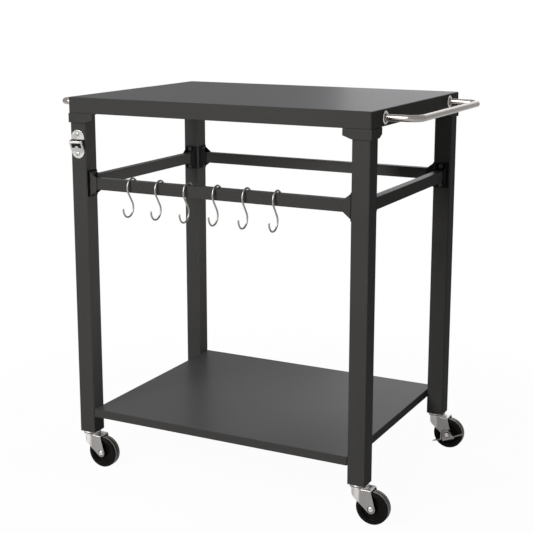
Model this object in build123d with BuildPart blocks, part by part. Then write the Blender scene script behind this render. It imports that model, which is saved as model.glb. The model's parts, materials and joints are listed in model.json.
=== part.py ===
"""Grill cart: folded worktop and shelf on four tube legs with rails, hooks, handles and casters.

Frame: millimetres, +Z up, the front looks along -Y.
The origin is on the floor under the middle of the bounding box.
"""
import os
from math import acos, asin, atan2, cos, degrees, hypot, radians, sin

from build123d import *

os.makedirs("parts", exist_ok=True)

# Worktop
TOP_WIDTH = 720.0
TOP_DEPTH = 528.0
TOP_HEIGHT = 860.0
SKIRT = 35.0
SHEET = 1.5
EDGE_R = 3.5
TOP_ROUND = 3.0
FOLD_R = 1.4
RETURN = 18.0

# Legs
LEG = 40.0
LEG_WALL = 1.5
LEG_R = 3.0
LEG_INSET = 2.0
LEG_BOTTOM = 84.5

# Corner brackets
BRACKET_SHEET = 2.5
BRACKET_FOLD_R = 2.0
BRACKET_ARM_X = 62.0
BRACKET_ARM_Y = 56.0
BRACKET_DROP = 21.0
BRACKET_TIP = 14.0
BRACKET_BOLT_IN = 10.0
BRACKET_BOLT_ALONG = 49.5

# Rails and their end brackets
RAIL_BELOW_TOP = 191.5
RAIL_WIDTH = 20.0
RAIL_TALL = 26.0
RAIL_WALL = 1.2
RAIL_R = 2.0
PLATE_WIDTH = 34.0
PLATE_TALL = 58.0
PLATE_SHEET = 2.0
CHEEK_LONG = 20.0
RAIL_BOLT_RISE = 21.5

# Lower shelf
SHELF_Z = 143.0
SHELF_SKIRT = 19.0
SHELF_RETURN = 12.0
SHELF_ROUND = 2.0
SHELF_BOLT_Z = 132.5
SHELF_BOLT_SIDE = 9.5

# Stiffening channels under both sheets
HAT_SHEET = 1.2
HAT_CROWN = 30.0
HAT_FLANGE = 14.0
TOP_HAT_TALL = 16.0
SHELF_HAT_TALL = 11.0
HAT_X = 125.0
HAT_END_GAP = 2.0

# Fasteners
BOLT_R = 3.0
BOLT_HEAD_AF = 10.0
BOLT_HEAD_TALL = 4.5
BOLT_TAIL = 2.0
NUT_TALL = 5.0
HOLE_GAP = 0.3
THREAD_GAP = 0.05

# Handles
HANDLE_R = 7.0
HANDLE_WALL = 1.2
HANDLE_REACH = 72.0
HANDLE_SPAN = 390.0
HANDLE_BEND = 26.0
FLANGE_R = 13.5
FLANGE_TALL = 3.0
PLUG_LONG = 14.0
PAN_HEAD_R = 5.5
PAN_HEAD_TALL = 3.5

# Bottle opener
OPENER_TALL = 63.0
OPENER_WIDTH = 34.5
OPENER_SHEET = 2.4
OPENER_BELOW_TOP = 103.5
OPENER_PROUD = 11.5
STEP_TOP = 12.2
LIP_TOP = 10.2
LIP_LOW = 2.6
MOUTH_LOW = -8.2
MOUTH_HALF = 12.8
MOUTH_R = 1.5
TOOTH_R = 5.5
TOOTH_BASE = -9.5
RAMP_LOW = -17.0
OPENER_SCREW_UP = 22.0
OPENER_SCREW_R = 2.1
OPENER_SCREW_LONG = 8.0
SCREW_HEAD_R = 4.2
SCREW_HEAD_TALL = 2.0
SCREW_HEAD_SLOPE = 30.0

# S-hooks
WIRE = 4.0
HOOK_R = 19.5
HOOK_DROP = 44.0
HOOK_LEAN = 17.5
HOOK_GAP = 0.3
HOOK_COUNT = 6
HOOK_PITCH = 71.2
HOOK_MID_X = -33.2

# Casters
WHEEL_R = 36.0
TYRE_WIDTH = 23.0
CORE_R = 28.0
HUB_R = 10.0
HUB_LONG = 27.0
WEB_HALF = 4.5
RIM_SHEET = 4.0
RIM_STEP = 1.2
SHOULDER_R = 4.5
TRAIL = 32.5
FORK_WIDTH = 33.0
FORK_SHEET = 2.2
FORK_FOLD_R = 1.8
FORK_RIM_R = 0.8
CROWN_TOP = 77.0
CROWN_BACK = 31.5
FORK_END_R = 9.5
FORK_NECK = 26.0
FORK_CHIN_X = 12.5
FORK_CHIN = 17.0
FORK_NOSE = 7.0
DIMPLE_R = 7.2
DIMPLE_DEEP = 0.9
RACE_R = 20.0
RACE_TOP = 80.2
CUP_BOTTOM = 81.0
BALL_R = 2.0
BALL_RING_R = 13.5
BALL_COUNT = 10
STEM_R = 5.0
STEM_TOP = 108.0
TURNED_EDGE = 1.0
RIVET_R = 8.0
RIVET_TALL = 2.5
AXLE_R = 4.0
AXLE_HEAD_R = 5.8
AXLE_HEAD_TALL = 2.6
AXLE_HEAD_RIM = 0.8
AXLE_HEAD_SLOPE = 2.0
RUN_GAP = 0.08
FACE_GAP = 0.4
INSERT_PLATE = 4.0
INSERT_R = 10.0
INSERT_TALL = 26.0

# Brake rocker
BRAKE_SHEET = 2.0
BRAKE_TILT = 21.0
BRAKE_DEEP = 9.0
BRAKE_UP = 11.0
BRAKE_DOWN = 13.0
BRAKE_TOP_HALF = 9.5
BRAKE_LOW_HALF = 15.5
BRAKE_REACH = 38.0
PEDAL_ROOT = 1.5
PEDAL_LOW = -7.6
PEDAL_TIP = -5.0

# Positions that follow from the sizes above
LEG_X = TOP_WIDTH / 2 - LEG_INSET - LEG / 2
LEG_Y = TOP_DEPTH / 2 - LEG_INSET - LEG / 2
CART_Y = (LEG_Y + HOOK_LEAN + HOOK_R + WIRE / 2 - TOP_DEPTH / 2) / 2
SKIRT_Z = TOP_HEIGHT - SKIRT
RAIL_Z = TOP_HEIGHT - RAIL_BELOW_TOP
OPENER_Z = TOP_HEIGHT - OPENER_BELOW_TOP
LEG_TOP = SKIRT_Z - BRACKET_SHEET
INNER_X = LEG_X - LEG / 2
HANDLE_Z = TOP_HEIGHT - SKIRT / 2
SHELF_LOW = SHELF_Z - SHELF_SKIRT
SHELF_WIDTH = 2 * INNER_X
SHELF_DEPTH = 2 * LEG_Y + LEG
RAIL_BOLT_HEIGHTS = (RAIL_Z - RAIL_BOLT_RISE, RAIL_Z + RAIL_BOLT_RISE)
CORNERS = {
    "front_left": (-1, -1),
    "front_right": (1, -1),
    "rear_left": (-1, 1),
    "rear_right": (1, 1),
}
UP = Vector(0, 0, 1)


def leg_axis(sx, sy):
    """Floor point under the middle of one leg."""
    return Vector(sx * LEG_X, CART_Y + sy * LEG_Y, 0)


def facing(point, normal):
    """Upright plane at a point, looking along a level normal, with its own y axis up."""
    return Plane(origin=point, x_dir=UP.cross(Vector(*normal)), z_dir=normal)


def inner_faces(sx, sy):
    """The two level directions in which a leg looks at its neighbours."""
    return ((-sx, 0, 0), (0, -sy, 0))


def finish(builder, label):
    """Name one piece and write it out."""
    builder.part.label = label
    export_step(builder.part, f"parts/{label}.step")


# Worktop: one sheet, skirt folded down, edge returned inwards.
bracket_bolt_points = []
for sx, sy in CORNERS.values():
    along_x = (
        sx * (TOP_WIDTH / 2 - BRACKET_BOLT_ALONG),
        CART_Y + sy * (TOP_DEPTH / 2 - BRACKET_BOLT_IN),
    )
    along_y = (
        sx * (TOP_WIDTH / 2 - BRACKET_BOLT_IN),
        CART_Y + sy * (TOP_DEPTH / 2 - BRACKET_BOLT_ALONG),
    )
    bracket_bolt_points += [along_x, along_y]
handle_posts = [CART_Y - HANDLE_SPAN / 2, CART_Y + HANDLE_SPAN / 2]

with BuildPart() as table_top:
    with BuildSketch(Plane((0, CART_Y, SKIRT_Z))):
        RectangleRounded(TOP_WIDTH, TOP_DEPTH, EDGE_R)
    extrude(amount=SKIRT)
    fillet(table_top.faces().sort_by(Axis.Z)[-1].edges(), TOP_ROUND)
    fillet(table_top.faces().sort_by(Axis.Z)[0].edges(), FOLD_R)
    with BuildSketch(Plane((0, CART_Y, SKIRT_Z + SHEET))):
        RectangleRounded(TOP_WIDTH - 2 * SHEET, TOP_DEPTH - 2 * SHEET, EDGE_R - SHEET)
    extrude(amount=SKIRT - 2 * SHEET, mode=Mode.SUBTRACT)
    with BuildSketch(Plane((0, CART_Y, SKIRT_Z))):
        Rectangle(TOP_WIDTH - 2 * RETURN, TOP_DEPTH - 2 * RETURN)
    extrude(amount=SHEET, mode=Mode.SUBTRACT)
    with BuildSketch(Plane.XY.offset(SKIRT_Z)):
        with Locations(*bracket_bolt_points):
            Circle(BOLT_R + HOLE_GAP)
    extrude(amount=SHEET, mode=Mode.SUBTRACT)
    with BuildSketch(Plane((0, 0, HANDLE_Z), x_dir=(0, 1, 0), z_dir=(1, 0, 0))):
        with Locations(*[(y, 0) for y in handle_posts]):
            Circle(BOLT_R + HOLE_GAP)
    extrude(amount=TOP_WIDTH / 2, both=True, mode=Mode.SUBTRACT)
finish(table_top, "table_top")


def hat_channels(under, tall, length, label):
    """Two hat channels, flanges up against the underside of a sheet, running front to back."""
    half = HAT_CROWN / 2
    wide = half + HAT_FLANGE
    t = HAT_SHEET
    with BuildPart() as hats:
        with BuildSketch(Plane((0, CART_Y, 0), x_dir=(1, 0, 0), z_dir=(0, -1, 0))):
            for x in (-HAT_X, HAT_X):
                with BuildLine():
                    Polyline(
                        (x - wide, under),
                        (x - half + t, under),
                        (x - half + t, under - tall + t),
                        (x + half - t, under - tall + t),
                        (x + half - t, under),
                        (x + wide, under),
                        (x + wide, under - t),
                        (x + half, under - t),
                        (x + half, under - tall),
                        (x - half, under - tall),
                        (x - half, under - t),
                        (x - wide, under - t),
                        close=True,
                    )
                make_face()
        extrude(amount=length / 2, both=True)
    finish(hats, label)


hat_channels(
    TOP_HEIGHT - SHEET,
    TOP_HAT_TALL,
    TOP_DEPTH - 2 * SHEET - 2 * HAT_END_GAP,
    "table_top_stiffeners",
)

# Legs: square tube, rail bolt holes in the two inner faces, shelf bolt holes in the one towards the shelf.
for corner, (sx, sy) in CORNERS.items():
    axis = leg_axis(sx, sy)
    with BuildPart() as leg:
        with BuildSketch(Plane(axis + UP * LEG_BOTTOM)):
            RectangleRounded(LEG, LEG, LEG_R)
            RectangleRounded(LEG - 2 * LEG_WALL, LEG - 2 * LEG_WALL, LEG_R - LEG_WALL, mode=Mode.SUBTRACT)
        extrude(amount=LEG_TOP - LEG_BOTTOM)
        for normal in inner_faces(sx, sy):
            with BuildSketch(facing(axis, normal)):
                with Locations(*[(0, z) for z in RAIL_BOLT_HEIGHTS]):
                    Circle(BOLT_R + HOLE_GAP)
            extrude(amount=LEG / 2, mode=Mode.SUBTRACT)
        with BuildSketch(facing(axis, (-sx, 0, 0))):
            with Locations((-SHELF_BOLT_SIDE, SHELF_BOLT_Z), (SHELF_BOLT_SIDE, SHELF_BOLT_Z)):
                Circle(BOLT_R + HOLE_GAP)
        extrude(amount=LEG / 2, mode=Mode.SUBTRACT)
        if corner == "front_left":
            with BuildSketch(facing(axis, (0, -1, 0))):
                with Locations((0, OPENER_Z - OPENER_SCREW_UP), (0, OPENER_Z + OPENER_SCREW_UP)):
                    Circle(OPENER_SCREW_R + THREAD_GAP)
            extrude(amount=LEG / 2, mode=Mode.SUBTRACT)
    finish(leg, f"leg_{corner}")

# Corner brackets: a plate under the return flange with two cheeks folded down over the leg's outer faces.
for corner, (sx, sy) in CORNERS.items():
    proud = LEG / 2 + BRACKET_SHEET
    edge = leg_axis(sx, sy) + Vector(sx * proud, sy * proud, LEG_TOP)
    nook = BRACKET_SHEET + LEG
    with BuildPart() as leg_bracket:
        with BuildSketch(Plane(edge)):
            with BuildLine():
                Polyline(
                    (0, 0),
                    (-sx * BRACKET_ARM_X, 0),
                    (-sx * BRACKET_ARM_X, -sy * RETURN),
                    (-sx * nook, -sy * nook),
                    (-sx * RETURN, -sy * BRACKET_ARM_Y),
                    (0, -sy * BRACKET_ARM_Y),
                    close=True,
                )
            make_face()
        extrude(amount=BRACKET_SHEET)
        along_x = ((0, -sy, 0), -sx * sy, BRACKET_ARM_X)
        along_y = ((-sx, 0, 0), sx * sy, BRACKET_ARM_Y)
        for normal, side, arm in (along_x, along_y):
            with BuildSketch(facing(edge, normal)):
                with BuildLine():
                    Polyline(
                        (0, BRACKET_SHEET),
                        (side * arm, BRACKET_SHEET),
                        (side * arm, BRACKET_SHEET - BRACKET_TIP),
                        (side * nook, BRACKET_SHEET - BRACKET_DROP),
                        (0, BRACKET_SHEET - BRACKET_DROP),
                        close=True,
                    )
                make_face()
            extrude(amount=BRACKET_SHEET)
        outer_x = leg_bracket.faces().sort_by(Axis((0, 0, 0), (sx, 0, 0)))[-1]
        outer_y = leg_bracket.faces().sort_by(Axis((0, 0, 0), (0, sy, 0)))[-1]
        folds = [
            edge
            for edge in outer_x.edges() + outer_y.edges()
            if edge.center().Z > LEG_TOP + BRACKET_SHEET / 2
        ]
        fillet(folds, BRACKET_FOLD_R)
        with BuildSketch(Plane.XY.offset(LEG_TOP)):
            with Locations(*bracket_bolt_points):
                Circle(BOLT_R + HOLE_GAP)
        extrude(amount=BRACKET_SHEET, mode=Mode.SUBTRACT)
    finish(leg_bracket, f"leg_bracket_{corner}")


def bolt_group(planes, grip, label):
    """Hex bolts: each head stands on its plane, the shank runs back through it."""
    with BuildPart() as bolts:
        for plane in planes:
            with BuildSketch(plane):
                RegularPolygon(BOLT_HEAD_AF / 2, 6, major_radius=False)
            extrude(amount=BOLT_HEAD_TALL)
            with BuildSketch(plane):
                Circle(BOLT_R)
            extrude(amount=-grip)
    finish(bolts, label)


def nut_group(planes, label):
    """Hex nuts, each standing on its plane and bored for a bolt."""
    with BuildPart() as nuts:
        for plane in planes:
            with BuildSketch(plane):
                RegularPolygon(BOLT_HEAD_AF / 2, 6, major_radius=False)
                Circle(BOLT_R + THREAD_GAP, mode=Mode.SUBTRACT)
            extrude(amount=NUT_TALL)
    finish(nuts, label)


def rail_planes(depth):
    """Planes at the rail bolts of all legs' inner faces, a given depth out from each leg's axis."""
    planes = []
    for sx, sy in CORNERS.values():
        for normal in inner_faces(sx, sy):
            for z in RAIL_BOLT_HEIGHTS:
                planes.append(facing(leg_axis(sx, sy) + Vector(*normal) * depth + UP * z, normal))
    return planes


def shelf_planes(depth):
    """Planes at the shelf bolts of all legs, a given depth out from each leg's axis towards the shelf."""
    planes = []
    for sx in (-1, 1):
        for y in shelf_bolt_rows:
            planes.append(facing(Vector(sx * (LEG_X - depth), y, SHELF_BOLT_Z), (-sx, 0, 0)))
    return planes


shelf_bolt_rows = [
    CART_Y + sy * LEG_Y + side * SHELF_BOLT_SIDE
    for sy in (-1, 1)
    for side in (-1, 1)
]
bolt_group(
    [Plane((x, y, LEG_TOP), x_dir=(1, 0, 0), z_dir=(0, 0, -1)) for x, y in bracket_bolt_points],
    BRACKET_SHEET + SHEET + NUT_TALL + BOLT_TAIL,
    "bracket_bolts",
)
bolt_group(
    rail_planes(LEG / 2 + PLATE_SHEET),
    PLATE_SHEET + LEG_WALL + NUT_TALL + BOLT_TAIL,
    "rail_bolts",
)
bolt_group(
    shelf_planes(LEG / 2 + SHEET),
    SHEET + LEG_WALL + NUT_TALL + BOLT_TAIL,
    "shelf_bolts",
)
nut_group(
    rail_planes(LEG / 2 - LEG_WALL - NUT_TALL)
    + shelf_planes(LEG / 2 - LEG_WALL - NUT_TALL)
    + [Plane((x, y, SKIRT_Z + SHEET)) for x, y in bracket_bolt_points],
    "weld_nuts",
)

# Rails: rectangular tube between the end brackets, each bracket a plate with two cheeks.
RAILS = {
    "front_rail": ((-1, -1), (1, -1)),
    "rear_rail": ((-1, 1), (1, 1)),
    "left_rail": ((-1, -1), (-1, 1)),
    "right_rail": ((1, -1), (1, 1)),
}
for rail_name, (first, second) in RAILS.items():
    start = leg_axis(*first)
    end = leg_axis(*second)
    run = (end - start).normalized()
    rail_start = start + run * (LEG / 2 + PLATE_SHEET) + UP * RAIL_Z
    rail_long = (end - start).length - LEG - 2 * PLATE_SHEET
    with BuildPart() as rail:
        with BuildSketch(facing(rail_start, (run.X, run.Y, 0))):
            RectangleRounded(RAIL_WIDTH, RAIL_TALL, RAIL_R)
            RectangleRounded(
                RAIL_WIDTH - 2 * RAIL_WALL,
                RAIL_TALL - 2 * RAIL_WALL,
                RAIL_R - RAIL_WALL,
                mode=Mode.SUBTRACT,
            )
        extrude(amount=rail_long)
    finish(rail, rail_name)
    with BuildPart() as brackets:
        for foot, inward in ((start, run), (end, -run)):
            seat = foot + inward * (LEG / 2) + UP * RAIL_Z
            side_on = Plane(origin=seat, x_dir=inward, z_dir=inward.cross(UP))
            with BuildSketch(side_on):
                with BuildLine():
                    Polyline(
                        (0, PLATE_TALL / 2),
                        (CHEEK_LONG, RAIL_TALL / 2),
                        (CHEEK_LONG, -RAIL_TALL / 2),
                        (0, -PLATE_TALL / 2),
                        close=True,
                    )
                make_face()
            extrude(amount=RAIL_WIDTH / 2 + PLATE_SHEET, both=True)
            with BuildSketch(side_on):
                with Locations((CHEEK_LONG / 2, 0)):
                    Rectangle(CHEEK_LONG, PLATE_TALL)
            extrude(amount=RAIL_WIDTH / 2, both=True, mode=Mode.SUBTRACT)
            with BuildSketch(facing(seat, (inward.X, inward.Y, 0))):
                Rectangle(PLATE_WIDTH, PLATE_TALL)
            extrude(amount=PLATE_SHEET)
            with BuildSketch(facing(seat, (inward.X, inward.Y, 0))):
                with Locations((0, -RAIL_BOLT_RISE), (0, RAIL_BOLT_RISE)):
                    Circle(BOLT_R + HOLE_GAP)
            extrude(amount=PLATE_SHEET, mode=Mode.SUBTRACT)
    finish(brackets, f"{rail_name}_brackets")

# Lower shelf: a folded tray between the left and right legs, its side skirts bolted to them.
with BuildPart() as bottom_shelf:
    with BuildSketch(Plane((0, CART_Y, SHELF_LOW))):
        RectangleRounded(SHELF_WIDTH, SHELF_DEPTH, EDGE_R)
    extrude(amount=SHELF_SKIRT)
    fillet(bottom_shelf.faces().sort_by(Axis.Z)[-1].edges(), SHELF_ROUND)
    fillet(bottom_shelf.faces().sort_by(Axis.Z)[0].edges(), FOLD_R)
    with BuildSketch(Plane((0, CART_Y, SHELF_LOW + SHEET))):
        RectangleRounded(SHELF_WIDTH - 2 * SHEET, SHELF_DEPTH - 2 * SHEET, EDGE_R - SHEET)
    extrude(amount=SHELF_SKIRT - 2 * SHEET, mode=Mode.SUBTRACT)
    with BuildSketch(Plane((0, CART_Y, SHELF_LOW))):
        Rectangle(SHELF_WIDTH - 2 * SHELF_RETURN, SHELF_DEPTH - 2 * SHELF_RETURN)
    extrude(amount=SHEET, mode=Mode.SUBTRACT)
    with BuildSketch(Plane((0, 0, SHELF_BOLT_Z), x_dir=(0, 1, 0), z_dir=(1, 0, 0))):
        with Locations(*[(y, 0) for y in shelf_bolt_rows]):
            Circle(BOLT_R + HOLE_GAP)
    extrude(amount=INNER_X, both=True, mode=Mode.SUBTRACT)
finish(bottom_shelf, "bottom_shelf")

hat_channels(
    SHELF_Z - SHEET,
    SHELF_HAT_TALL,
    SHELF_DEPTH - 2 * SHELF_RETURN - 2 * HAT_END_GAP,
    "bottom_shelf_stiffeners",
)

# Handles: bent tube with threaded plugs in its ends, round cover flanges, screws from inside the skirt.
for side, sx in (("left", -1), ("right", 1)):
    wall_x = sx * TOP_WIDTH / 2
    with BuildPart() as handle:
        with BuildLine(Plane.XY.offset(HANDLE_Z)):
            FilletPolyline(
                (wall_x, handle_posts[0]),
                (wall_x + sx * HANDLE_REACH, handle_posts[0]),
                (wall_x + sx * HANDLE_REACH, handle_posts[1]),
                (wall_x, handle_posts[1]),
                radius=HANDLE_BEND,
            )
        with BuildSketch(facing(Vector(wall_x, handle_posts[0], HANDLE_Z), (sx, 0, 0))):
            Circle(HANDLE_R)
            Circle(HANDLE_R - HANDLE_WALL, mode=Mode.SUBTRACT)
        sweep()
        for y in handle_posts:
            with BuildSketch(facing(Vector(wall_x, y, HANDLE_Z), (sx, 0, 0))):
                Circle(HANDLE_R - HANDLE_WALL)
                Circle(BOLT_R + THREAD_GAP, mode=Mode.SUBTRACT)
            extrude(amount=PLUG_LONG)
    finish(handle, f"{side}_handle")

with BuildPart() as handle_flanges:
    for sx in (-1, 1):
        for y in handle_posts:
            with BuildSketch(facing(Vector(sx * TOP_WIDTH / 2, y, HANDLE_Z), (sx, 0, 0))):
                Circle(FLANGE_R)
                Circle(HANDLE_R + THREAD_GAP, mode=Mode.SUBTRACT)
            extrude(amount=FLANGE_TALL)
    rims = handle_flanges.edges().filter_by(GeomType.CIRCLE).group_by(SortBy.RADIUS)[-1]
    chamfer(rims.group_by(Axis.X)[0] + rims.group_by(Axis.X)[-1], FLANGE_TALL / 3)
finish(handle_flanges, "handle_flanges")

with BuildPart() as handle_screws:
    for sx in (-1, 1):
        for y in handle_posts:
            inside = facing(Vector(sx * (TOP_WIDTH / 2 - SHEET), y, HANDLE_Z), (sx, 0, 0))
            with BuildSketch(inside):
                Circle(PAN_HEAD_R)
            extrude(amount=-PAN_HEAD_TALL)
            with BuildSketch(inside):
                Circle(BOLT_R)
            extrude(amount=SHEET + PLUG_LONG - BOLT_TAIL)
finish(handle_screws, "handle_screws")

# Bottle opener: a strip bent out in the middle, trimmed to two lobes, with a mouth and a tooth.
opener_at = Vector(-LEG_X, CART_Y - LEG_Y - LEG / 2, OPENER_Z)
opener_front = facing(opener_at, (0, -1, 0))
opener_side = Plane(origin=opener_at, x_dir=(0, -1, 0), z_dir=(-1, 0, 0))
LOBE_R = OPENER_WIDTH / 2
LOBE_UP = OPENER_TALL / 2 - LOBE_R
with BuildPart() as bottle_opener:
    with BuildSketch(opener_side):
        with BuildLine():
            Polyline(
                (0, -OPENER_TALL / 2),
                (OPENER_SHEET, -OPENER_TALL / 2),
                (OPENER_SHEET, RAMP_LOW),
                (OPENER_PROUD, LIP_LOW),
                (OPENER_PROUD, LIP_TOP),
                (OPENER_SHEET, STEP_TOP),
                (OPENER_SHEET, OPENER_TALL / 2),
                (0, OPENER_TALL / 2),
                (0, STEP_TOP - OPENER_SHEET / 2),
                (OPENER_PROUD - OPENER_SHEET, LIP_TOP - OPENER_SHEET / 2),
                (OPENER_PROUD - OPENER_SHEET, LIP_LOW + OPENER_SHEET / 2),
                (0, RAMP_LOW + OPENER_SHEET / 2),
                close=True,
            )
        make_face()
    extrude(amount=OPENER_WIDTH / 2, both=True)
    with BuildSketch(opener_front):
        SlotCenterToCenter(2 * LOBE_UP, OPENER_WIDTH, rotation=90)
    extrude(amount=OPENER_PROUD, mode=Mode.INTERSECT)
    with BuildSketch(opener_front):
        with Locations((0, (LIP_LOW + MOUTH_LOW) / 2)):
            RectangleRounded(2 * MOUTH_HALF, LIP_LOW - MOUTH_LOW, MOUTH_R)
        with Locations((0, TOOTH_BASE)):
            Circle(TOOTH_R, mode=Mode.SUBTRACT)
    extrude(amount=OPENER_PROUD, mode=Mode.SUBTRACT)
    with BuildSketch(opener_front):
        with Locations((0, OPENER_SCREW_UP), (0, -OPENER_SCREW_UP)):
            Circle(OPENER_SCREW_R + HOLE_GAP)
    extrude(amount=OPENER_PROUD, mode=Mode.SUBTRACT)
finish(bottle_opener, "bottle_opener")

with BuildPart() as opener_screws:
    head = facing(opener_at - Vector(0, OPENER_SHEET, 0), (0, -1, 0))
    with BuildSketch(head):
        with Locations((0, OPENER_SCREW_UP), (0, -OPENER_SCREW_UP)):
            Circle(SCREW_HEAD_R)
    extrude(amount=SCREW_HEAD_TALL, taper=SCREW_HEAD_SLOPE)
    with BuildSketch(head):
        with Locations((0, OPENER_SCREW_UP), (0, -OPENER_SCREW_UP)):
            Circle(OPENER_SCREW_R)
    extrude(amount=-OPENER_SCREW_LONG)
finish(opener_screws, "opener_screws")

# S-hooks: round wire, upper loop over the rail's two top corners, lower loop open to the front.
corner_in = RAIL_WIDTH / 2 - RAIL_R
bore_r = HOOK_R - WIRE / 2 - HOOK_GAP
loop_z = RAIL_Z + RAIL_TALL / 2 - RAIL_R - ((bore_r - RAIL_R) ** 2 - corner_in**2) ** 0.5
swing = degrees(atan2(HOOK_DROP, HOOK_LEAN) - acos(2 * HOOK_R / hypot(HOOK_DROP, HOOK_LEAN)))
for i in range(HOOK_COUNT):
    x = HOOK_MID_X + HOOK_PITCH * (i - (HOOK_COUNT - 1) / 2)
    hang = Plane(origin=(x, CART_Y - LEG_Y, loop_z), x_dir=(0, 1, 0), z_dir=(1, 0, 0))
    with BuildPart() as hook:
        with BuildLine(hang):
            over = CenterArc((0, 0), HOOK_R, 0, 180 + swing)
            under = CenterArc((-HOOK_LEAN, -HOOK_DROP), HOOK_R, swing, -180 - swing)
            Line(over @ 1, under @ 0)
        with BuildSketch(Plane(origin=hang.from_local_coords(Vector(HOOK_R, 0, 0)), z_dir=(0, 0, 1))):
            Circle(WIRE / 2)
        sweep()
    finish(hook, f"hook_{i + 1}")

# Threaded inserts closing the leg ends.
with BuildPart() as caster_inserts:
    for sx, sy in CORNERS.values():
        with BuildSketch(Plane(leg_axis(sx, sy) + UP * LEG_BOTTOM)):
            RectangleRounded(LEG - 2 * LEG_WALL, LEG - 2 * LEG_WALL, LEG_R - LEG_WALL)
            Circle(STEM_R + THREAD_GAP, mode=Mode.SUBTRACT)
        extrude(amount=INSERT_PLATE)
        with BuildSketch(Plane(leg_axis(sx, sy) + UP * (LEG_BOTTOM + INSERT_PLATE))):
            Circle(INSERT_R)
            Circle(STEM_R + THREAD_GAP, mode=Mode.SUBTRACT)
        extrude(amount=INSERT_TALL - INSERT_PLATE)
finish(caster_inserts, "caster_inserts")

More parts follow.
